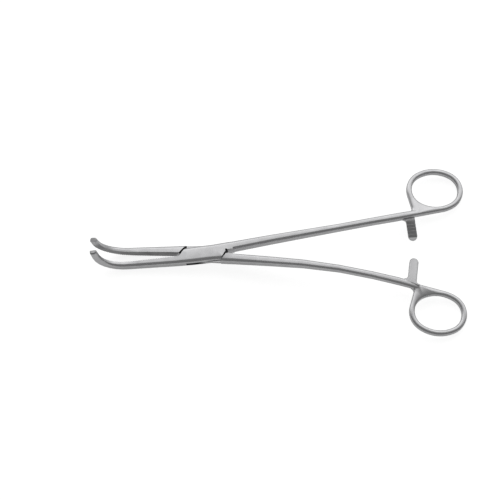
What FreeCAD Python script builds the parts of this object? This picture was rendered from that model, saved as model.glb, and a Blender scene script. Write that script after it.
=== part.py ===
import FreeCAD, Part
import math
import os
import Sketcher

os.makedirs("parts", exist_ok=True)

# Cystic duct forceps, in millimetres.
# Each half is drawn in the closed position: the pivot is the origin, X runs from the jaws to the
# finger rings, Y is the way the jaws close and Z is the pivot's axis, towards which the jaws bend.

doc = FreeCAD.newDocument("cystic_duct_forceps")
sheet = doc.addObject("Spreadsheet::Sheet", "Sizes")

SIZES = [
    # Jaws: width is across both closed jaws, height is along the pivot's axis
    ("jaw_root", 19.6), ("jaw_rise", 2.0), ("jaw_straight", 29.1), ("jaw_bend_radius", 17.0),
    ("jaw_bend_angle", 86.0), ("jaw_bend_steps", 7), ("jaw_tip_length", 6.4), ("jaw_toe_in", 3.0),
    ("jaw_nose", 0.9), ("jaw_nose_share", 0.72), ("jaw_root_width", 9.3), ("jaw_bend_width", 6.7),
    ("jaw_tip_width", 5.0), ("jaw_root_height", 6.8), ("jaw_bend_height", 6.0), ("jaw_tip_height", 4.1),
    ("jaw_root_round", 2.0), ("jaw_bend_round", 1.8), ("jaw_tip_round", 1.4), ("grip_gap", 0.05),
    ("serration_pitch", 1.05), ("serration_width", 0.9), ("serration_depth", 0.3), ("serration_first", 0.6),
    # Box lock: two slanted shoulders, a broached slot and the tongue through it
    ("box_width", 10.3), ("box_height", 7.2), ("box_round", 2.2), ("box_rear", 4.0), ("box_front", 8.0),
    ("lock_rear", 14.0), ("lock_rear_width", 11.4), ("lock_rear_height", 7.0),
    ("jaw_shoulder_reach", 16.6), ("jaw_shoulder_angle", 50.0),
    ("ring_shoulder_reach", 13.0), ("ring_shoulder_angle", 56.0), ("shoulder_gap", 0.15),
    ("slot_height", 2.4), ("tongue_clearance", 0.07), ("slot_end_gap", 0.2),
    ("pin_diameter", 3.2), ("pin_clearance", 0.05), ("crotch_relief", 1.2),
    # Shanks, from the lock to the rings: place of each section, its middle, width and height
    ("lock_end", 17.0), ("lock_end_width", 11.6), ("lock_end_height", 6.9), ("lock_cut_end", 19.0),
    ("shank_gap", 0.4), ("shank_inner_round", 1.2), ("shank_round", 1.6), ("shank_end_round", 1.0),
    ("shank_1_place", 40.0), ("shank_1_middle", 4.5), ("shank_1_width", 4.9), ("shank_1_height", 6.4),
    ("shank_2_place", 60.0), ("shank_2_middle", 5.9), ("shank_2_width", 4.5), ("shank_2_height", 5.9),
    ("shank_3_place", 82.0), ("shank_3_middle", 8.1), ("shank_3_width", 4.1), ("shank_3_height", 5.4),
    ("shank_4_place", 102.0), ("shank_4_middle", 10.95), ("shank_4_width", 4.2), ("shank_4_height", 5.2),
    ("shank_5_place", 118.0), ("shank_5_middle", 13.5), ("shank_5_width", 4.4), ("shank_5_height", 5.1),
    ("shank_6_place", 127.0), ("shank_6_middle", 15.3), ("shank_6_width", 4.2), ("shank_6_height", 4.2),
    ("shank_7_place", 134.0), ("shank_7_middle", 16.7), ("shank_7_width", 2.5), ("shank_7_height", 2.2),
    ("bow_start", 42.0), ("bow_radius", 300.0), ("bow_angle", 18.5),
    # Finger rings: a band of rounded section, drawn out to a gusset where the shank runs in
    ("ring_place", 141.3), ("ring_offset", 31.1), ("ring_slope", 15.0),
    ("hole_length", 28.6), ("hole_width", 22.4), ("hole_end_radius", 10.0),
    ("band_width", 3.2), ("band_height", 4.0), ("band_round", 1.25),
    ("crotch_round", 2.2), ("crotch_depth", 1.5),
    ("gusset_outer_angle", 192.0), ("gusset_inner_angle", 280.0),
    # Ratchet bars, flush with the rings' middle plane
    ("bar_place", 125.9), ("bar_tip_past_middle", 1.8), ("bar_lean", 3.0),
    ("bar_width", 5.5), ("bar_height", 2.1), ("bar_bevel", 0.6), ("bar_root_round", 2.0),
    ("bar_foot_depth", 1.6),
    ("tooth_pitch", 2.2), ("tooth_depth", 0.8), ("tooth_count", 5), ("first_tooth", 1.7), ("tooth_gap", 0.14),
    # Rest position
    ("rest_opening", 7.4),
]
for row, (alias, value) in enumerate(SIZES, start=1):
    sheet.set(f"A{row}", alias)
    sheet.set(f"B{row}", str(value))
    sheet.setAlias(f"B{row}", alias)
doc.recompute()

REACH = 9.0
THROUGH = 80.0
CIRCLE_BEZIER = 0.5523
ACROSS = FreeCAD.Rotation(FreeCAD.Vector(1, 1, 1), 120)


def size(alias):
    return float(sheet.get(alias))


def radians(alias):
    return math.radians(size(alias))


def between(low, high, share):
    return low + (high - low) * share


def origin_plane(body, role):
    return next(item for item in body.Origin.OriginFeatures if item.Role == role)


def new_sketch(body, name, role, place=None):
    sketch = body.newObject("Sketcher::SketchObject", name)
    sketch.AttachmentSupport = [(origin_plane(body, role), "")]
    sketch.MapMode = "FlatFace"
    if place:
        sketch.AttachmentOffset = place
    return sketch


def polygon(sketch, points):
    corners = [FreeCAD.Vector(x, y, 0) for x, y in points]
    first = sketch.GeometryCount
    for start, end in zip(corners, corners[1:] + corners[:1]):
        sketch.addGeometry(Part.LineSegment(start, end), False)
    last = sketch.GeometryCount - 1
    for line in range(first, last):
        sketch.addConstraint(Sketcher.Constraint("Coincident", line, 2, line + 1, 1))
    sketch.addConstraint(Sketcher.Constraint("Coincident", last, 2, first, 1))


def drop(x):
    """How far the shanks have bowed down at a distance x from the pivot."""
    radius = size("bow_radius")
    start = size("bow_start")
    end = start + radius * math.sin(radians("bow_angle"))
    if x <= start:
        return 0.0
    if x <= end:
        return -(radius - math.sqrt(radius ** 2 - (x - start) ** 2))
    fallen = radius * (1 - math.cos(radians("bow_angle")))
    return -fallen - (x - end) * math.tan(radians("bow_angle"))


def rounded_section(sketch, low, width, height, low_round, high_round):
    """A rectangle from Y = low, centred on the pivot's height, with rounded corners."""
    top = height / 2
    corners = [(low, -top, low_round, 0, 1), (low + width, -top, high_round, -1, 0),
               (low + width, top, high_round, 0, -1), (low, top, low_round, 1, 0)]
    ends = []
    for y, z, radius, in_y, in_z in corners:
        corner = FreeCAD.Vector(y, z, 0)
        coming = FreeCAD.Vector(in_y, in_z, 0) * radius
        leaving = FreeCAD.Vector(in_z, -in_y, 0) * radius
        ends.append((corner + coming, corner + leaving))
        if radius > 0:
            bend = Part.BezierCurve()
            bend.setPoles([corner + coming, corner + coming * (1 - CIRCLE_BEZIER),
                           corner + leaving * (1 - CIRCLE_BEZIER), corner + leaving])
            sketch.addGeometry(bend.toBSpline(), False)
    for (_, start), (end, _) in zip(ends, ends[1:] + ends[:1]):
        sketch.addGeometry(Part.LineSegment(start, end), False)


def ruled_loft(body, name, sections):
    feature = body.newObject("PartDesign::AdditiveLoft", name)
    feature.Profile = sections[0]
    feature.Sections = [(section, [""]) for section in sections[1:]]
    feature.Ruled = True
    feature.Refine = False
    doc.recompute()
    return feature


def pad(body, name, sketch, formula, two_sided=True, reverse=False):
    feature = body.newObject("PartDesign::Pad", name)
    feature.Profile = sketch
    feature.SideType = "Symmetric" if two_sided else "One side"
    feature.Reversed = reverse
    feature.Refine = False
    feature.setExpression("Length", formula)
    doc.recompute()
    return feature


def pocket(body, name, sketch, formula=None, two_sided=True, reverse=False):
    """A cut that stops the build where it takes nothing away."""
    before = body.Shape.Volume
    feature = body.newObject("PartDesign::Pocket", name)
    feature.Profile = sketch
    feature.SideType = "Symmetric" if two_sided else "One side"
    feature.Reversed = reverse
    feature.Refine = False
    feature.Length = THROUGH
    if formula:
        feature.setExpression("Length", formula)
    doc.recompute()
    if body.Shape.Volume >= before - 1e-6:
        raise RuntimeError(f"{name} cuts nothing")
    return feature


def edges_at(shape, place, level):
    """Names of the edges that lie at one level above a sketch's plane."""
    back = place.inverse()
    names = []
    for number, edge in enumerate(shape.Edges, start=1):
        points = [back.multVec(edge.valueAt(between(edge.FirstParameter, edge.LastParameter, share)))
                  for share in (0.0, 0.31, 0.77)]
        if all(abs(point.z - level) < 1e-4 for point in points):
            names.append(f"Edge{number}")
    return names


def jaw_frame(side=0):
    """The start of the bend: X back along the jaw, turned in towards the other jaw for a side."""
    rise = radians("jaw_rise")
    start = FreeCAD.Vector(-size("jaw_root") - size("jaw_straight") * math.cos(rise), 0,
                           size("jaw_straight") * math.sin(rise))
    turn = FreeCAD.Rotation(FreeCAD.Vector(0, 1, 0), size("jaw_rise"))
    toe_in = FreeCAD.Rotation(FreeCAD.Vector(1, 0, 0), -side * size("jaw_toe_in"))
    return FreeCAD.Placement(start, turn.multiply(toe_in))


def jaw_place(side, share, past=0.0):
    """A place on the jaw's centre line: a share of the bend, then a distance past its end."""
    angle = radians("jaw_bend_angle") * share
    radius = size("jaw_bend_radius")
    middle = FreeCAD.Vector(-radius * math.sin(angle) - past * math.cos(angle), 0,
                            radius * (1 - math.cos(angle)) + past * math.sin(angle))
    lean = FreeCAD.Rotation(FreeCAD.Vector(0, 1, 0), math.degrees(angle))
    return jaw_frame(side).multiply(FreeCAD.Placement(middle, lean))


def lock(body):
    """The outside of the lock, of both halves together, from the shanks to the root of the jaws."""
    rows = [
        (size("lock_end"), size("lock_end_width"), size("lock_end_height"), size("box_round")),
        (size("lock_rear"), size("lock_rear_width"), size("lock_rear_height"), size("box_round")),
        (size("box_rear"), size("box_width"), size("box_height"), size("box_round")),
        (-size("box_front"), size("box_width"), size("box_height"), size("box_round")),
        (-size("jaw_root"), size("jaw_root_width"), size("jaw_root_height"), size("jaw_root_round")),
    ]
    sections = []
    for number, (x, width, height, radius) in enumerate(rows, start=1):
        sketch = new_sketch(body, f"LockSection{number}", "XY_Plane",
                            FreeCAD.Placement(FreeCAD.Vector(x, 0, 0), ACROSS))
        rounded_section(sketch, -width / 2, width, height, radius, radius)
        sections.append(sketch)
    return ruled_loft(body, "Lock", sections)


def jaw(body, side):
    """One jaw: flat on its gripping side, straight at first, then bent up, with a blunt nose."""
    root = FreeCAD.Placement(FreeCAD.Vector(-size("jaw_root"), 0, 0), FreeCAD.Rotation())
    before_bend = jaw_frame().multiply(FreeCAD.Placement(FreeCAD.Vector(size("jaw_bend_height"), 0, 0),
                                                         FreeCAD.Rotation()))
    flat_share = 1 - size("jaw_bend_height") / size("jaw_straight")
    bend = radians("jaw_bend_angle") * size("jaw_bend_radius")
    whole = bend + size("jaw_tip_length")
    names = ("width", "height", "round")
    at_root = [size(f"jaw_root_{name}") for name in names]
    at_bend = [size(f"jaw_bend_{name}") for name in names]
    at_tip = [size(f"jaw_tip_{name}") for name in names]
    rows = [(root, at_root), (before_bend, [between(*pair, flat_share) for pair in zip(at_root, at_bend)])]
    steps = int(size("jaw_bend_steps"))
    for step in range(steps + 1):
        share = bend * step / steps / whole
        rows.append((jaw_place(side, step / steps), [between(*pair, share) for pair in zip(at_bend, at_tip)]))
    rows.append((jaw_place(side, 1.0, size("jaw_tip_length")), at_tip))
    for share, fullness in ((0.6, 0.75), (1.0, 0.0)):
        place = jaw_place(side, 1.0, size("jaw_tip_length") + size("jaw_nose") * share)
        small = between(size("jaw_nose_share"), 1.0, fullness)
        rows.append((place, [value * small for value in at_tip]))
    sections = []
    for number, (place, (width, height, outer)) in enumerate(rows, start=1):
        sketch = new_sketch(body, f"JawSection{number}", "XY_Plane",
                            place.multiply(FreeCAD.Placement(FreeCAD.Vector(), ACROSS)))
        thickness = width / 2 - size("grip_gap")
        low = -width / 2 if side > 0 else size("grip_gap")
        rounds = (outer, 0) if side > 0 else (0, outer)
        rounded_section(sketch, low, thickness, height, *rounds)
        sections.append(sketch)
    return ruled_loft(body, "Jaw", sections)


def shank(body, side):
    """From the lock to the ring: flat on the inside at the lock, round all over further on."""
    gap = size("shank_gap")
    width = size("lock_end_width") / 2 - gap
    rows = [(size("lock_end"), gap + width / 2, width, size("lock_end_height"),
             size("shank_inner_round"), size("box_round"))]
    for number in range(1, 8):
        radius = size("shank_round") if number < 7 else size("shank_end_round")
        rows.append((size(f"shank_{number}_place"), size(f"shank_{number}_middle"),
                     size(f"shank_{number}_width"), size(f"shank_{number}_height"), radius, radius))
    sections = []
    for number, (x, middle, width, height, inner, outer) in enumerate(rows, start=1):
        sketch = new_sketch(body, f"ShankSection{number}", "XY_Plane",
                            FreeCAD.Placement(FreeCAD.Vector(x, 0, drop(x)), ACROSS))
        low = side * middle - width / 2
        rounds = (inner, outer) if side > 0 else (outer, inner)
        rounded_section(sketch, low, width, height, *rounds)
        sections.append(sketch)
    return ruled_loft(body, "Shank", sections)


def shank_edge(x, outward):
    """How far a shank's inner (-1) or outer (1) edge is from the middle at a distance x."""
    names = ("place", "middle", "width")
    stations = [[size(f"shank_{number}_{name}") for name in names] for number in range(1, 8)]
    for (x1, middle1, width1), (x2, middle2, width2) in zip(stations, stations[1:]):
        if x1 <= x <= x2:
            share = (x - x1) / (x2 - x1)
            return between(middle1 + outward * width1 / 2, middle2 + outward * width2 / 2, share)
    raise ValueError(f"no shank at {x}")


def sloped_place(x, y, turn=0.0):
    """The rings' own plane, sloped nearly as the bowed shanks are, at (x, y)."""
    slope = FreeCAD.Rotation(FreeCAD.Vector(0, 1, 0), size("ring_slope"))
    return FreeCAD.Placement(FreeCAD.Vector(x, y, drop(x)),
                             slope.multiply(FreeCAD.Rotation(FreeCAD.Vector(0, 0, 1), turn)))


def oval_arc(side, band, start, end):
    """One of the four arcs of the finger hole's oval, moved out by band: start and end in degrees."""
    half_long = size("hole_length") / 2
    half_wide = size("hole_width") / 2
    tight = size("hole_end_radius")
    step = half_long - tight
    wide = (step ** 2 + half_wide ** 2 - tight ** 2) / (2 * (half_wide - tight))
    middle = (start + end) / 2 % 360
    turn = math.degrees(math.atan2(wide - half_wide, step))
    if middle < turn or middle > 360 - turn:
        centre, radius = FreeCAD.Vector(step, 0, 0), tight + band
    elif middle < 180 - turn:
        centre, radius = FreeCAD.Vector(0, side * (half_wide - wide), 0), wide + band
    elif middle < 180 + turn:
        centre, radius = FreeCAD.Vector(-step, 0, 0), tight + band
    else:
        centre, radius = FreeCAD.Vector(0, side * (wide - half_wide), 0), wide + band
    points = []
    for share in (0.0, 0.5, 1.0):
        angle = math.radians(between(start, end, share))
        points.append(centre + FreeCAD.Vector(math.cos(angle), side * math.sin(angle), 0) * radius)
    return Part.Arc(*points), turn


def finger_ring(body, side):
    """A band round an oval hole, with straight tangents that meet in a gusset inside the shank."""
    place = sloped_place(size("ring_place"), side * size("ring_offset"))
    sketch = new_sketch(body, "RingOutline", "XY_Plane", place)
    turn = oval_arc(side, 0.0, 0.0, 10.0)[1]
    corners = (-turn, turn, 180 - turn, 180 + turn, 360 - turn)
    for start, end in zip(corners, corners[1:]):
        sketch.addGeometry(oval_arc(side, 0.0, start, end)[0], False)
    band = size("band_width")
    outer = size("gusset_outer_angle")
    inner = size("gusset_inner_angle")
    stops = (inner - 360, -turn, turn, 180 - turn, outer)
    arcs = [oval_arc(side, band, start, end)[0] for start, end in zip(stops, stops[1:])]
    for arc in arcs:
        sketch.addGeometry(arc, False)
    first = arcs[0].StartPoint
    last = arcs[-1].EndPoint
    first_way = FreeCAD.Vector(-math.sin(math.radians(inner)), side * math.cos(math.radians(inner)), 0)
    last_way = FreeCAD.Vector(-math.sin(math.radians(outer)), side * math.cos(math.radians(outer)), 0)
    corner = last + last_way * ((first - last).cross(first_way).z / last_way.cross(first_way).z)
    edge = []
    for x in (size("shank_5_place"), size("shank_6_place")):
        edge.append(FreeCAD.Vector((x - size("ring_place")) / math.cos(radians("ring_slope")),
                                   side * (shank_edge(x, 1) - size("ring_offset")), 0))
    edge_way = (edge[0] - edge[1]).normalize()
    crossing = last + last_way * ((edge[1] - last).cross(edge_way).z / last_way.cross(edge_way).z)
    opening = edge_way.getAngle(last_way * -1)
    reach = size("crotch_round") / math.tan(opening / 2)
    above = crossing - last_way * reach
    along = crossing + edge_way * reach
    middle_way = (edge_way - last_way).normalize()
    bottom = crossing + middle_way * size("crotch_round") * (1 / math.sin(opening / 2) - 1)
    inside = along + last_way * size("crotch_depth")
    sketch.addGeometry(Part.LineSegment(last, above), False)
    sketch.addGeometry(Part.Arc(above, bottom, along), False)
    sketch.addGeometry(Part.LineSegment(along, inside), False)
    sketch.addGeometry(Part.LineSegment(inside, corner), False)
    sketch.addGeometry(Part.LineSegment(corner, first), False)
    band_pad = pad(body, "RingBand", sketch, "Sizes.band_height")
    radius = size("band_round")
    faceted = band_pad
    bevels = [("RingBevel", radius * (2 - math.sqrt(2)), [size("band_height") / 2]),
              ("RingRound", radius * (math.tan(math.pi / 8) - math.tan(math.pi / 16)), None)]
    for name, cut, levels in bevels:
        before = faceted.Shape
        if levels is None:
            levels = [size("band_height") / 2, size("band_height") / 2 - radius * (2 - math.sqrt(2))]
        names = []
        for level in levels:
            for sign in (1, -1):
                names += edges_at(before, sketch.Placement, sign * level)
        bevel = body.newObject("PartDesign::Chamfer", name)
        bevel.Base = (faceted, names)
        bevel.Size = cut
        faceted = bevel
        doc.recompute()
    return faceted


def bar_outline(sketch, side):
    """A bar with a round end, which flares into the shank where it starts."""
    half = size("bar_width") / 2
    foot = size("bar_root_round")
    depth = size("bar_foot_depth")
    inner = [shank_edge(size("bar_place") + way * (half + foot), -1) for way in (-1, 1)]
    tip = -size("bar_tip_past_middle")
    bulge = foot * (1 - math.sqrt(0.5))

    def at(x, y):
        return FreeCAD.Vector(x, side * y, 0)

    left, right = inner
    sketch.addGeometry(Part.Arc(at(-half, tip + half), at(0, tip), at(half, tip + half)), False)
    sketch.addGeometry(Part.LineSegment(at(half, tip + half), at(half, right - foot)), False)
    flare = (at(half, right - foot), at(half + bulge, right - bulge), at(half + foot, right))
    sketch.addGeometry(Part.Arc(*flare), False)
    sketch.addGeometry(Part.LineSegment(at(half + foot, right), at(half + foot, right + depth)), False)
    back = (at(half + foot, right + depth), at(-half - foot, left + depth))
    sketch.addGeometry(Part.LineSegment(*back), False)
    sketch.addGeometry(Part.LineSegment(at(-half - foot, left + depth), at(-half - foot, left)), False)
    flare = (at(-half - foot, left), at(-half - bulge, left - bulge), at(-half, left - foot))
    sketch.addGeometry(Part.Arc(*flare), False)
    sketch.addGeometry(Part.LineSegment(at(-half, left - foot), at(-half, tip + half)), False)


def ratchet_bar(body, side):
    """A flat bar across the gap. Its teeth face the other bar's, and their steep sides its own ring."""
    place = sloped_place(size("bar_place"), 0.0, side * size("bar_lean"))
    level = -side * size("tooth_gap") / 2
    plain = size("bar_height") - size("bar_bevel")
    for name, start, formula in (("Bar", level, "Sizes.bar_height - Sizes.bar_bevel"),
                                 ("Bevel", level - side * plain, "Sizes.bar_bevel")):
        lifted = place.multiply(FreeCAD.Placement(FreeCAD.Vector(0, 0, start), FreeCAD.Rotation()))
        sketch = new_sketch(body, f"{name}Outline", "XY_Plane", lifted)
        bar_outline(sketch, side)
        layer = pad(body, f"Ratchet{name}", sketch, formula, two_sided=False, reverse=side > 0)
    layer.TaperAngle = -45.0
    doc.recompute()
    tip = -side * size("bar_tip_past_middle")
    profile_place = place.multiply(FreeCAD.Placement(
        FreeCAD.Vector(0, tip + side * size("first_tooth"), level), ACROSS))
    tooth = new_sketch(body, "ToothGap", "XY_Plane", profile_place)
    pitch = side * size("tooth_pitch")
    polygon(tooth, [(0, side * size("tooth_gap")), (0, -side * size("tooth_depth")), (pitch, 0),
                    (pitch, side * size("tooth_gap"))])
    first = pocket(body, "FirstTooth", tooth, "2 * Sizes.bar_width")
    teeth = body.newObject("PartDesign::LinearPattern", "Teeth")
    teeth.Originals = [first]
    teeth.Direction = (tooth, ["H_Axis"])
    teeth.Mode = "Spacing"
    teeth.Reversed = side < 0
    teeth.setExpression("Offset", "Sizes.tooth_pitch")
    teeth.setExpression("Occurrences", "Sizes.tooth_count")
    teeth.Refine = False
    body.Tip = teeth
    doc.recompute()
    return teeth


def shoulder_lines():
    """The slanted ends of the lock: where each meets the middle, and how far back it leans a side."""
    jaw = -size("jaw_shoulder_reach")
    ring = size("ring_shoulder_reach")
    jaw_back = REACH / math.tan(radians("jaw_shoulder_angle"))
    ring_back = REACH / math.tan(radians("ring_shoulder_angle"))
    return jaw, jaw_back, ring, ring_back


def box_cuts(body):
    """The female half keeps both cheeks of the box: the male jaw, shank and tongue are cut out."""
    jaw, jaw_back, ring, ring_back = shoulder_lines()
    gap = size("shoulder_gap")
    grip = size("grip_gap")
    apart = size("shank_gap")
    plan = new_sketch(body, "MaleJawRoom", "XY_Plane")
    polygon(plan, [(-THROUGH, -grip), (jaw + gap, -grip), (jaw + gap + jaw_back, REACH), (-THROUGH, REACH)])
    pocket(body, "MaleJawCut", plan)
    plan = new_sketch(body, "MaleShankRoom", "XY_Plane")
    rear = size("lock_cut_end")
    polygon(plan, [(rear, apart), (ring - gap, apart), (ring - gap - ring_back, -REACH), (rear, -REACH)])
    pocket(body, "MaleShankCut", plan)
    plan = new_sketch(body, "SlotPlan", "XY_Plane")
    end = size("slot_end_gap")
    polygon(plan, [(jaw - end, 0), (jaw - end + jaw_back, -REACH), (ring + end, -REACH), (ring + end, 0),
                   (ring + end - ring_back, REACH), (jaw - end, REACH)])
    pocket(body, "Slot", plan, "Sizes.slot_height")
    relief = new_sketch(body, "CrotchRelief", "XY_Plane")
    middle = FreeCAD.Vector(ring - gap, apart, 0)
    relief.addGeometry(Part.Circle(middle, FreeCAD.Vector(0, 0, 1), size("crotch_relief") / 2), False)
    pocket(body, "Relief", relief)
    pin_hole(body, size("pin_diameter") / 2)


def pin_hole(body, radius):
    hole = new_sketch(body, "PinHole", "XY_Plane")
    hole.addGeometry(Part.Circle(FreeCAD.Vector(0, 0, 0), FreeCAD.Vector(0, 0, 1), radius), False)
    pocket(body, "PinBore", hole, "2 * Sizes.box_height")


def tongue_cuts(body):
    """The male half is thinned to a tongue between its shoulders, which the box closes over."""
    jaw, jaw_back, ring, ring_back = shoulder_lines()
    grip = size("grip_gap")
    apart = size("shank_gap")
    plan = new_sketch(body, "FemaleJawRoom", "XY_Plane")
    polygon(plan, [(-THROUGH, grip), (jaw, grip), (jaw + jaw_back, -REACH), (-THROUGH, -REACH)])
    pocket(body, "FemaleJawCut", plan)
    plan = new_sketch(body, "FemaleShankRoom", "XY_Plane")
    rear = size("lock_cut_end")
    polygon(plan, [(rear, -apart), (ring, -apart), (ring - ring_back, REACH), (rear, REACH)])
    pocket(body, "FemaleShankCut", plan)
    half = size("slot_height") / 2 - size("tongue_clearance")
    cheek = [(jaw, -REACH), (jaw, 0), (jaw + jaw_back, REACH),
             (ring, REACH), (ring, 0), (ring - ring_back, -REACH)]
    for name, level, down in (("Upper", half, False), ("Lower", -half, True)):
        lift = FreeCAD.Placement(FreeCAD.Vector(0, 0, level), FreeCAD.Rotation())
        plan = new_sketch(body, f"{name}CheekRoom", "XY_Plane", lift)
        polygon(plan, cheek)
        pocket(body, f"{name}CheekCut", plan, "Sizes.box_height", two_sided=False, reverse=not down)
    pin_hole(body, size("pin_diameter") / 2 + size("pin_clearance"))


def serrations(body, side):
    """V grooves across the gripping face: along the straight jaw, round the bend and to the tip."""
    face = -side * size("grip_gap")
    half = size("serration_width") / 2
    root = face - side * size("serration_depth")
    profile = [(-half, side), (-half, face), (0, root), (half, face), (half, side)]
    radius = size("jaw_bend_radius")
    step = size("serration_pitch")
    lift = FreeCAD.Placement(FreeCAD.Vector(0, 0, radius), FreeCAD.Rotation())
    straight = jaw_frame().multiply(FreeCAD.Placement(FreeCAD.Vector(step, 0, 0), FreeCAD.Rotation()))
    rows = [
        ("Straight", straight, False, int((size("jaw_straight") - size("serration_first")) / step)),
        ("Bend", jaw_place(side, 0.0), False, int(radians("jaw_bend_angle") * radius / step) + 1),
        ("Tip", jaw_place(side, 1.0, step / 2), True, int(size("jaw_tip_length") / step)),
    ]
    for name, place, backwards, count in rows:
        sketch = new_sketch(body, f"{name}Groove", "XY_Plane", place.multiply(lift))
        polygon(sketch, profile)
        groove = pocket(body, f"{name}FirstGroove", sketch, "Sizes.jaw_bend_radius + Sizes.jaw_root_height",
                        two_sided=False)
        kind = "PartDesign::PolarPattern" if name == "Bend" else "PartDesign::LinearPattern"
        pattern = body.newObject(kind, f"{name}Grooves")
        pattern.Originals = [groove]
        pattern.Mode = "Spacing"
        pattern.Refine = False
        pattern.Reversed = backwards
        pattern.Occurrences = count
        if name == "Bend":
            pattern.Axis = (sketch, ["V_Axis"])
            pattern.setExpression("Offset", "Sizes.serration_pitch / Sizes.jaw_bend_radius * 180 / pi")
        else:
            pattern.Direction = (sketch, ["H_Axis"])
            pattern.setExpression("Offset", "Sizes.serration_pitch")
        body.Tip = pattern
        doc.recompute()


def half_body(name, side):
    body = doc.addObject("PartDesign::Body", name)
    finger_ring(body, side)
    ratchet_bar(body, side)
    shank(body, side)
    lock(body)
    if side > 0:
        box_cuts(body)
    else:
        tongue_cuts(body)
    jaw(body, side)
    serrations(body, side)
    return body


female = half_body("FemaleHalf", 1)
female.Label = "female_half"

male = half_body("MaleHalf", -1)
male.Label = "male_half"

pin = doc.addObject("Part::Cylinder", "PivotPin")
pin.setExpression("Radius", "Sizes.pin_diameter / 2")
pin.setExpression("Height", "Sizes.box_height")
pin.Label = "pivot_pin"
doc.recompute()

# Rest position: the jaws stand open and the forceps lie on the jaws' heels and on the rings
opening = FreeCAD.Rotation(FreeCAD.Vector(0, 0, 1), size("rest_opening") / 2)
turns = {female: opening, male: opening.inverted(), pin: opening}
starts = {female: FreeCAD.Vector(0, 0, 0), male: FreeCAD.Vector(0, 0, 0),
          pin: FreeCAD.Vector(0, 0, -size("box_height") / 2)}
points = []
for body in (female, male):
    for point in body.Shape.tessellate(0.05)[0]:
        points.append(turns[body].multVec(point))


def lying(angle):
    """The forceps turned about Y: the lowest points of the jaws and of the rings, and the turn."""
    turn = FreeCAD.Rotation(FreeCAD.Vector(0, 1, 0), -angle)
    turned = [turn.multVec(point) for point in points]
    jaws = min(after.z for before, after in zip(points, turned) if before.x < 0)
    rings = min(after.z for before, after in zip(points, turned) if before.x > 0)
    return jaws, rings, turn, turned


low, high = 0.0, 20.0
while high - low > 1e-5:
    tilt = (low + high) / 2
    jaws, rings, turn, turned = lying(tilt)
    if rings < jaws:
        low = tilt
    else:
        high = tilt
spans = [(min(values), max(values)) for values in zip(*[tuple(point) for point in turned])]
lift = FreeCAD.Vector(-sum(spans[0]) / 2, -sum(spans[1]) / 2, -spans[2][0])
for part, rotation in turns.items():
    opened = FreeCAD.Placement(FreeCAD.Vector(), rotation)
    start = FreeCAD.Placement(starts[part], FreeCAD.Rotation())
    part.Placement = FreeCAD.Placement(lift, turn).multiply(opened).multiply(start)
doc.recompute()

print("rest tilt", round(tilt, 4), "pivot", tuple(round(value, 3) for value in lift))
print("pivot axis", tuple(round(value, 5) for value in turn.multVec(FreeCAD.Vector(0, 0, 1))))
for part, side in ((female, 1), (male, -1)):
    ring = FreeCAD.Vector(size("ring_place"), side * size("ring_offset"), drop(size("ring_place")))
    print(part.Label, "ring centre", tuple(round(value, 3) for value in part.Placement.multVec(ring)))
face = turn.multVec(FreeCAD.Vector(0, 0, size("box_height") / 2)) + lift
print("box face", tuple(round(value, 3) for value in face))

for item in doc.Objects:
    if "Invalid" in item.State or "Error" in item.State:
        raise RuntimeError(f"{item.Name}: {item.getStatusString()}")
for part in (female, male, pin):
    if part.Shape.isNull() or not part.Shape.isValid() or len(part.Shape.Solids) != 1:
        raise RuntimeError(f"{part.Label} has no sound solid")
    part.Shape.exportStep(f"parts/{part.Label}.step")
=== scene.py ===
import math

import bpy
from mathutils import Matrix, Vector


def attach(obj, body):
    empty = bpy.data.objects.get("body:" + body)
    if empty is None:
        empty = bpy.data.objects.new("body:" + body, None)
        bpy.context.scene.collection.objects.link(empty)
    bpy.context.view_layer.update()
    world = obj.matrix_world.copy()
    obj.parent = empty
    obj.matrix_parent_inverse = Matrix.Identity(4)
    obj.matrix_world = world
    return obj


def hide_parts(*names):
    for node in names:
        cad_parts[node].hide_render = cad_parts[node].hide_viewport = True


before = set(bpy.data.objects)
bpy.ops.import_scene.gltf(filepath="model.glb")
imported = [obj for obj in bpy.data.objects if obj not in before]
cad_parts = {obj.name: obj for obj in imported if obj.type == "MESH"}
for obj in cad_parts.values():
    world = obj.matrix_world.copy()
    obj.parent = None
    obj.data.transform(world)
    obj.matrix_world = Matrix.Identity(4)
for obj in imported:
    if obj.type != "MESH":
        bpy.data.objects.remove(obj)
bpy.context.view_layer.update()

# Box half
# Half of the forceps, forged in one piece of stainless steel: ring, ratchet bar, shank, the box
# of the lock and one jaw. It is ground and polished to a satin, brightest along its edges.

# The steel. An edge counts as worn where the rounded normal leaves the flat one by these cosines.
EDGE_SAMPLES = 6
UNWORN_COSINE = 0.995
WORN_COSINE = 0.90
NOISE_DETAIL = 3.0


def group_socket(group, name, direction, kind):
    return group.interface.new_socket(name=name, in_out=direction, socket_type=kind)


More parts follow.
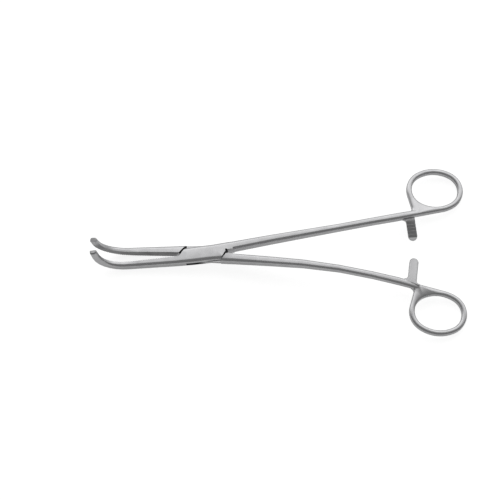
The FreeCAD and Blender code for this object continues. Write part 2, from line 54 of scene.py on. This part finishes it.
def edge_wear_group():
    """Edges rounded over and rubbed bright by handling: a mask of them and softened normals."""
    group = bpy.data.node_groups.new("edge_wear", "ShaderNodeTree")
    group_socket(group, "Radius", "INPUT", "NodeSocketFloat")
    group_socket(group, "Mask", "OUTPUT", "NodeSocketFloat")
    group_socket(group, "Normal", "OUTPUT", "NodeSocketVector")
    entry = group.nodes.new("NodeGroupInput")
    leave = group.nodes.new("NodeGroupOutput")
    rounded = group.nodes.new("ShaderNodeBevel")
    rounded.samples = EDGE_SAMPLES
    group.links.new(entry.outputs["Radius"], rounded.inputs["Radius"])
    flat = group.nodes.new("ShaderNodeNewGeometry")
    agree = group.nodes.new("ShaderNodeVectorMath")
    agree.operation = "DOT_PRODUCT"
    group.links.new(rounded.outputs["Normal"], agree.inputs[0])
    group.links.new(flat.outputs["Normal"], agree.inputs[1])
    mask = group.nodes.new("ShaderNodeMapRange")
    mask.inputs["From Min"].default_value = UNWORN_COSINE
    mask.inputs["From Max"].default_value = WORN_COSINE
    group.links.new(agree.outputs["Value"], mask.inputs["Value"])
    group.links.new(mask.outputs["Result"], leave.inputs["Mask"])
    group.links.new(rounded.outputs["Normal"], leave.inputs["Normal"])
    return group


def satin_group():
    """The satin belt's marks: a fine grain along the piece, and faint clouds from hand polishing."""
    group = bpy.data.node_groups.new("satin_marks", "ShaderNodeTree")
    group_socket(group, "Grain Scale", "INPUT", "NodeSocketVector")
    group_socket(group, "Cloud Scale", "INPUT", "NodeSocketFloat")
    group_socket(group, "Grain", "OUTPUT", "NodeSocketFloat")
    group_socket(group, "Cloud", "OUTPUT", "NodeSocketFloat")
    entry = group.nodes.new("NodeGroupInput")
    leave = group.nodes.new("NodeGroupOutput")
    place = group.nodes.new("ShaderNodeTexCoord")
    stretch = group.nodes.new("ShaderNodeVectorMath")
    stretch.operation = "MULTIPLY"
    group.links.new(place.outputs["Object"], stretch.inputs[0])
    group.links.new(entry.outputs["Grain Scale"], stretch.inputs[1])
    grain = group.nodes.new("ShaderNodeTexNoise")
    grain.inputs["Scale"].default_value = 1.0
    grain.inputs["Detail"].default_value = NOISE_DETAIL
    group.links.new(stretch.outputs["Vector"], grain.inputs["Vector"])
    cloud = group.nodes.new("ShaderNodeTexNoise")
    cloud.inputs["Detail"].default_value = NOISE_DETAIL
    group.links.new(place.outputs["Object"], cloud.inputs["Vector"])
    group.links.new(entry.outputs["Cloud Scale"], cloud.inputs["Scale"])
    group.links.new(grain.outputs["Fac"], leave.inputs["Grain"])
    group.links.new(cloud.outputs["Fac"], leave.inputs["Cloud"])
    return group


def ranged(tree, value, low, high, new_low, new_high):
    """A Map Range node on a socket."""
    node = tree.nodes.new("ShaderNodeMapRange")
    node.inputs["From Min"].default_value = low
    node.inputs["From Max"].default_value = high
    node.inputs["To Min"].default_value = new_low
    node.inputs["To Max"].default_value = new_high
    tree.links.new(value, node.inputs["Value"])
    return node


edge_wear = edge_wear_group()
satin_marks = satin_group()
GRAIN_SCALE = (700.0, 7000.0, 7000.0)
GRAIN_STRENGTH = 0.25
GRAIN_DEPTH = 0.00001
CLOUD_SCALE = 160.0
CLOUD_LOW = 0.3
CLOUD_HIGH = 0.7
WORN_ROUGHNESS = 0.75

# The places of a Mix node's colour sockets among all its sockets.
FIRST_COLOUR = 6
SECOND_COLOUR = 7
MIXED_COLOUR = 2


def steel(name, dull, bright, smooth, rough, edge_radius):
    """Stainless steel: its colour and roughness drift between two values, and its edges shine."""
    material = bpy.data.materials.new(name)
    material.use_nodes = True
    tree = material.node_tree
    shader = tree.nodes["Principled BSDF"]
    shader.inputs["Metallic"].default_value = 1.0
    marks = tree.nodes.new("ShaderNodeGroup")
    marks.node_tree = satin_marks
    marks.inputs["Grain Scale"].default_value = GRAIN_SCALE
    marks.inputs["Cloud Scale"].default_value = CLOUD_SCALE
    edges = tree.nodes.new("ShaderNodeGroup")
    edges.node_tree = edge_wear
    edges.inputs["Radius"].default_value = edge_radius
    share = ranged(tree, marks.outputs["Cloud"], CLOUD_LOW, CLOUD_HIGH, 0.0, 1.0)
    colour = tree.nodes.new("ShaderNodeMix")
    colour.data_type = "RGBA"
    colour.inputs[FIRST_COLOUR].default_value = dull
    colour.inputs[SECOND_COLOUR].default_value = bright
    tree.links.new(share.outputs["Result"], colour.inputs[0])
    tree.links.new(colour.outputs[MIXED_COLOUR], shader.inputs["Base Color"])
    drift = ranged(tree, marks.outputs["Cloud"], CLOUD_LOW, CLOUD_HIGH, rough, smooth)
    worn = ranged(tree, edges.outputs["Mask"], 0.0, 1.0, 1.0, WORN_ROUGHNESS)
    roughness = tree.nodes.new("ShaderNodeMath")
    roughness.operation = "MULTIPLY"
    tree.links.new(drift.outputs["Result"], roughness.inputs[0])
    tree.links.new(worn.outputs["Result"], roughness.inputs[1])
    tree.links.new(roughness.outputs["Value"], shader.inputs["Roughness"])
    bump = tree.nodes.new("ShaderNodeBump")
    bump.inputs["Strength"].default_value = GRAIN_STRENGTH
    bump.inputs["Distance"].default_value = GRAIN_DEPTH
    tree.links.new(marks.outputs["Grain"], bump.inputs["Height"])
    tree.links.new(edges.outputs["Normal"], bump.inputs["Normal"])
    tree.links.new(bump.outputs["Normal"], shader.inputs["Normal"])
    return material


# The finishes: polished outside, with crisp edges on the box's flat cheeks and soft ones on the
# rings, a near-black painted shade inside the lock, and a darker colour on the gripping faces, the
# jaws' tips and the ratchets that is partly the cutter's dull finish and partly painted shade.
POLISHED_DULL = (0.63, 0.63, 0.64, 1.0)
POLISHED_BRIGHT = (0.69, 0.69, 0.70, 1.0)
SATIN, CHEEK, LOCK_PAINTED_SHADE, RING, MILLED_AND_PAINTED_SHADE, TOOTHED_AND_PAINTED_SHADE = range(6)
finishes = (
    steel("satin_steel", POLISHED_DULL, POLISHED_BRIGHT, 0.22, 0.30, 0.00018),
    steel("cheek_steel", POLISHED_DULL, POLISHED_BRIGHT, 0.22, 0.30, 0.00003),
    # Near-black painted shade for the faces inside the lock, standing in for the shade in its gaps.
    steel("lock_painted_shade", (0.05, 0.05, 0.052, 1.0), (0.08, 0.08, 0.082, 1.0), 0.5, 0.6, 0.00003),
    steel("ring_steel", POLISHED_DULL, POLISHED_BRIGHT, 0.22, 0.30, 0.0009),
    # Darker, rougher cut finishes: partly the cutter's dull finish and partly painted shade.
    steel("milled_steel_and_painted_shade", (0.36, 0.36, 0.365, 1.0), (0.46, 0.46, 0.465, 1.0), 0.34, 0.44, 0.00003),
    steel("toothed_steel_and_painted_shade", (0.42, 0.42, 0.425, 1.0), (0.52, 0.52, 0.525, 1.0), 0.30, 0.38, 0.0002),
)

# The lock at rest: its place, the forceps' tilt on the table, how far each half is turned, the
# outline of the box across and along, and the tongue's middle, which is left satin rather than painted
# shade because it shows bright when open.
TILT = math.radians(5.9389)
PIVOT = Vector((-0.044027, 0.0, 0.006984))
HALF_OPENING = math.radians(3.7)
LOCK_HALF_WIDTH = 0.00515
LOCK_HALF_HEIGHT = 0.0036
LOCK_ROUND = 0.0022
LOCK_ENDS = (-0.0168, 0.0136)
SKIN = 0.0008
TONGUE_ENDS = (-0.0125, 0.0100)

# The cut faces, given a darker colour that is partly their dull cut finish and partly painted shade:
# the jaws' gripping faces and tips, and the ratchet bars with their teeth.
JAW_START = -0.0625
GRIP_DEPTH = 0.0006
TIP_HEIGHT = 0.0238
RING_START = 0.0745
BAR_FOOT = 0.0213
TEETH_REACH = (0.0086, 0.0195)

# How nearly a face has to look the way that is asked for: 1 is exactly that way.
ROUGHLY = 0.5
MOSTLY = 0.85
NEARLY = 0.95


def steel_at(point, normal, turn):
    """The finish of the face at a point, on the half that is turned this far from closed."""
    into_own = Matrix.Rotation(-turn, 3, "Z") @ Matrix.Rotation(TILT, 3, "Y")
    own = into_own @ (point - PIVOT)
    facing = into_own @ normal
    towards_other_bar = facing.z if turn > 0.0 else -facing.z
    # The ratchet bars' faces towards the other bar take the darker cut finishes, partly painted shade.
    if point.x > RING_START and abs(point.y) < TEETH_REACH[1] and towards_other_bar > ROUGHLY:
        return TOOTHED_AND_PAINTED_SHADE if abs(point.y) > TEETH_REACH[0] else MILLED_AND_PAINTED_SHADE
    if point.x > RING_START and abs(point.y) < BAR_FOOT and towards_other_bar > NEARLY:
        return MILLED_AND_PAINTED_SHADE
    if point.x > RING_START and abs(point.y) > TEETH_REACH[1]:
        return RING
    # Gripping faces and the jaws' raised tips take the darker cut finish, partly painted shade.
    gripping = abs(own.y) < GRIP_DEPTH and abs(facing.y) > ROUGHLY
    if point.x < JAW_START and (point.z > TIP_HEIGHT or gripping):
        return MILLED_AND_PAINTED_SHADE
    if not LOCK_ENDS[0] < own.x < LOCK_ENDS[1]:
        return SATIN
    if abs(own.y) > LOCK_HALF_WIDTH / 2 and abs(facing.y) > MOSTLY:
        return SATIN
    if turn < 0.0 and TONGUE_ENDS[0] < own.x < TONGUE_ENDS[1]:
        return SATIN
    across = abs(own.y) - (LOCK_HALF_WIDTH - LOCK_ROUND)
    upward = abs(own.z) - (LOCK_HALF_HEIGHT - LOCK_ROUND)
    outside = math.hypot(max(across, 0.0), max(upward, 0.0)) + min(max(across, upward), 0.0)
    # Faces deeper than the skin under the box's outline get the lock's near-black painted shade.
    if outside - LOCK_ROUND < -SKIN:
        return LOCK_PAINTED_SHADE
    return CHEEK if across < 0.0 < upward else SATIN


MERGE_DISTANCE = 0.000002
SMOOTH_ANGLE = math.radians(32.0)


def finished_copy(node, name, body, turn):
    """A merged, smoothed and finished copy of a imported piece, which stands for it."""
    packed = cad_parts[node]
    piece = packed.copy()
    piece.data = packed.data.copy()
    piece.name = name
    bpy.context.collection.objects.link(piece)
    bpy.ops.object.select_all(action="DESELECT")
    piece.select_set(True)
    bpy.context.view_layer.objects.active = piece
    bpy.ops.mesh.customdata_custom_splitnormals_clear()
    bpy.ops.object.mode_set(mode="EDIT")
    bpy.ops.mesh.select_all(action="SELECT")
    bpy.ops.mesh.remove_doubles(threshold=MERGE_DISTANCE)
    out_of_own = Matrix.Rotation(-TILT, 3, "Y") @ Matrix.Rotation(turn, 3, "Z")
    # Each piece is cut across at the tongue's ends, so that the lock's painted shade ends along a clean
    # edge on the tongue.
    for along in TONGUE_ENDS:
        bpy.ops.mesh.select_all(action="SELECT")
        bpy.ops.mesh.bisect(plane_co=PIVOT + out_of_own @ Vector((along, 0.0, 0.0)),
                            plane_no=out_of_own @ Vector((1.0, 0.0, 0.0)))
    bpy.ops.object.mode_set(mode="OBJECT")
    bpy.ops.object.shade_smooth_by_angle(angle=SMOOTH_ANGLE)
    piece.data.materials.clear()
    for finish in finishes:
        piece.data.materials.append(finish)
    for face in piece.data.polygons:
        face.material_index = steel_at(face.center, face.normal, turn)
    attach(piece, body)
    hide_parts(node)


finished_copy("female_half", "box_half", "female_body", HALF_OPENING)

# Tongue half
# The other half, forged and finished as the first: its shank and jaw are joined by a thin tongue
# that was passed through the box while the box was still open.
finished_copy("male_half", "tongue_half", "male_body", -HALF_OPENING)

# Pivot pin
# A steel pin driven through both cheeks and the tongue, riveted, and ground flush with the box.
finished_copy("pivot_pin", "pin", "female_body", HALF_OPENING)

# Floor
# A sheet of plain white paper that the forceps lie on. The camera, metal and glass see it as
# white, apart from the shadow.
PAPER_SIZE = 40.0
PAPER_COLOUR = (0.5, 0.5, 0.5, 1.0)
WHITE_TO_CAMERA = 0.84
WHITE_TO_METAL = 0.28
bpy.ops.object.select_all(action="DESELECT")
bpy.ops.mesh.primitive_plane_add(size=PAPER_SIZE, location=(0.0, 0.0, 0.0))
floor = bpy.context.object
floor.name = "floor"
paper = bpy.data.materials.new("white_paper")
paper.use_nodes = True
tree = paper.node_tree
shader = tree.nodes["Principled BSDF"]
shader.inputs["Base Color"].default_value = PAPER_COLOUR
shader.inputs["Roughness"].default_value = 1.0
shader.inputs["Specular IOR Level"].default_value = 0.0
shader.inputs["Emission Color"].default_value = (1.0, 1.0, 1.0, 1.0)
path = tree.nodes.new("ShaderNodeLightPath")
seen = tree.nodes.new("ShaderNodeMath")
seen.operation = "MAXIMUM"
tree.links.new(path.outputs["Is Camera Ray"], seen.inputs[0])
tree.links.new(path.outputs["Is Transmission Ray"], seen.inputs[1])
to_camera = ranged(tree, seen.outputs["Value"], 0.0, 1.0, 0.0, WHITE_TO_CAMERA)
to_metal = ranged(tree, path.outputs["Is Glossy Ray"], 0.0, 1.0, 0.0, WHITE_TO_METAL)
whitening = tree.nodes.new("ShaderNodeMath")
whitening.operation = "MAXIMUM"
tree.links.new(to_camera.outputs["Result"], whitening.inputs[0])
tree.links.new(to_metal.outputs["Result"], whitening.inputs[1])
tree.links.new(whitening.outputs["Value"], shader.inputs["Emission Strength"])
floor.data.materials.append(paper)

# Light
# A wide soft box overhead and behind, in a room that is dim on the camera's side. The camera sees
# plain white beyond the paper. The heights and depths are parts of the way to straight up or back.
BOX_LEVEL = 1.1
WALL_LEVEL = 0.6
ROOM_LEVEL = 0.2
WALL_TOP = 0.15
BOX_BOTTOM = 0.5
ROOM_END = 0.02
BOX_START = 0.55
world = bpy.data.worlds.new("studio")
bpy.context.scene.world = world
world.use_nodes = True
tree = world.node_tree
background = tree.nodes["Background"]
background.inputs["Color"].default_value = (1.0, 1.0, 1.0, 1.0)
way = tree.nodes.new("ShaderNodeTexCoord")
parts = tree.nodes.new("ShaderNodeSeparateXYZ")
tree.links.new(way.outputs["Generated"], parts.inputs["Vector"])
behind = ranged(tree, parts.outputs["Z"], WALL_TOP, BOX_BOTTOM, WALL_LEVEL, BOX_LEVEL)
behind.interpolation_type = "SMOOTHSTEP"
level = ranged(tree, parts.outputs["Y"], ROOM_END, BOX_START, ROOM_LEVEL, BOX_LEVEL)
level.interpolation_type = "SMOOTHSTEP"
tree.links.new(behind.outputs["Result"], level.inputs["To Max"])
path = tree.nodes.new("ShaderNodeLightPath")
choice = tree.nodes.new("ShaderNodeMix")
tree.links.new(path.outputs["Is Camera Ray"], choice.inputs[0])
tree.links.new(level.outputs["Result"], choice.inputs[2])
choice.inputs[3].default_value = 1.0
tree.links.new(choice.outputs[0], background.inputs["Strength"])

# Camera
# A long lens above and a little in front of the forceps, nearly square to their length. It stands
# square to the lock, turned by these angles, and looks a little to the right of it and above it.
PITCH = math.radians(22.6)
SWING = math.radians(10.5)
ROLL = math.radians(3.46)
DISTANCE = 1.298
LOOK_RIGHT = 0.02053
LOOK_UP = 0.00212
LENS_MM = 152.9
SENSOR_MM = 36.0
NEAREST = 0.1
lying = Matrix.Rotation(-TILT, 3, "Y")
back = Vector((math.sin(SWING), -math.sin(PITCH) * math.cos(SWING), math.cos(PITCH) * math.cos(SWING)))
right = Vector((math.cos(SWING), math.sin(SWING) * math.sin(PITCH), -math.sin(SWING) * math.cos(PITCH)))
up = back.cross(right)
across = lying @ (right * math.cos(ROLL) - up * math.sin(ROLL))
upward = lying @ (right * math.sin(ROLL) + up * math.cos(ROLL))
back = lying @ back
place = PIVOT + back * DISTANCE
back = (back - across * LOOK_RIGHT - upward * LOOK_UP).normalized()
across = (across - back * across.dot(back)).normalized()
upward = back.cross(across)
lens = bpy.data.cameras.new("camera")
lens.lens = LENS_MM
lens.sensor_width = SENSOR_MM
lens.clip_start = NEAREST
camera = bpy.data.objects.new("camera", lens)
bpy.context.collection.objects.link(camera)
aim = Matrix((across, upward, back)).transposed().to_4x4()
camera.matrix_world = Matrix.Translation(place) @ aim
bpy.context.scene.camera = camera
bpy.context.scene.view_settings.view_transform = "Standard"
